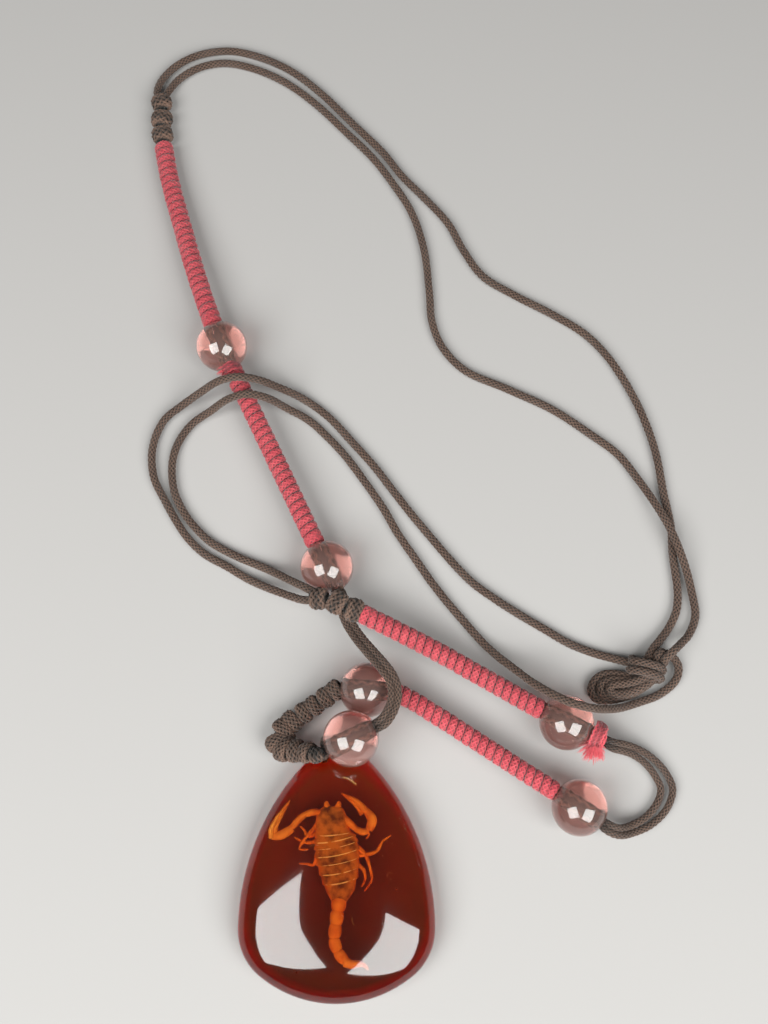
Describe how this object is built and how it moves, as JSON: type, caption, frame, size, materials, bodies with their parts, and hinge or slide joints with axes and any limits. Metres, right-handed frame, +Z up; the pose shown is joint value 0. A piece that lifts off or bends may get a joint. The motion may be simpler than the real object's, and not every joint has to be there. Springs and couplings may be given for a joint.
{
  "type": "scorpion in amber pendant necklace",
  "caption": "Small scorpion sealed in a domed drop of amber-coloured resin, worn as a pendant on a knotted cord with clear beads, red wraps and an adjusting knot.",
  "frame": {"origin": "middle of the drop's flat back, on the surface that it lies on", "axes": "+Z up out of the domed front, +Y towards the drop's narrow end, +X to the right seen from the front"},
  "size_m": [0.1091, 0.1918, 0.0144],
  "materials": {
    "amber": "polished clear amber resin",
    "scorpion": "dried chitin",
    "bead": "polished clear smoky rose acrylic",
    "red_cord": "woven",
    "dark_cord": "braided"
  },
  "bodies": {
    "root": {"amber_front": "amber", "amber_back": "amber", "scorpion": "scorpion", "bead_bail_upper": "bead", "bead_bail_lower": "bead", "bead_loop_lower": "bead", "bead_loop_upper": "bead", "bead_side_lower": "bead", "bead_side_upper": "bead", "wrap_lower": "red_cord", "wrap_middle": "red_cord", "wrap_side": "red_cord", "wrap_top": "red_cord", "red_knot_loop": "red_cord", "red_knot_side": "red_cord", "core_top": "dark_cord", "core_lower": "dark_cord", "core_middle": "dark_cord", "core_cross": "dark_cord", "strand_top_outer": "dark_cord", "strand_top_inner": "dark_cord", "strand_loop_outer": "dark_cord", "strand_loop_inner": "dark_cord", "strand_lower_outer": "dark_cord", "strand_lower_inner": "dark_cord", "strand_upper_right": "dark_cord", "strand_upper_left": "dark_cord", "snake_knot_top": "dark_cord", "snake_knot_cross": "dark_cord", "bail": "dark_cord", "hitch": "dark_cord", "adjusting_knot": "dark_cord"}
  },
  "joints": []
}
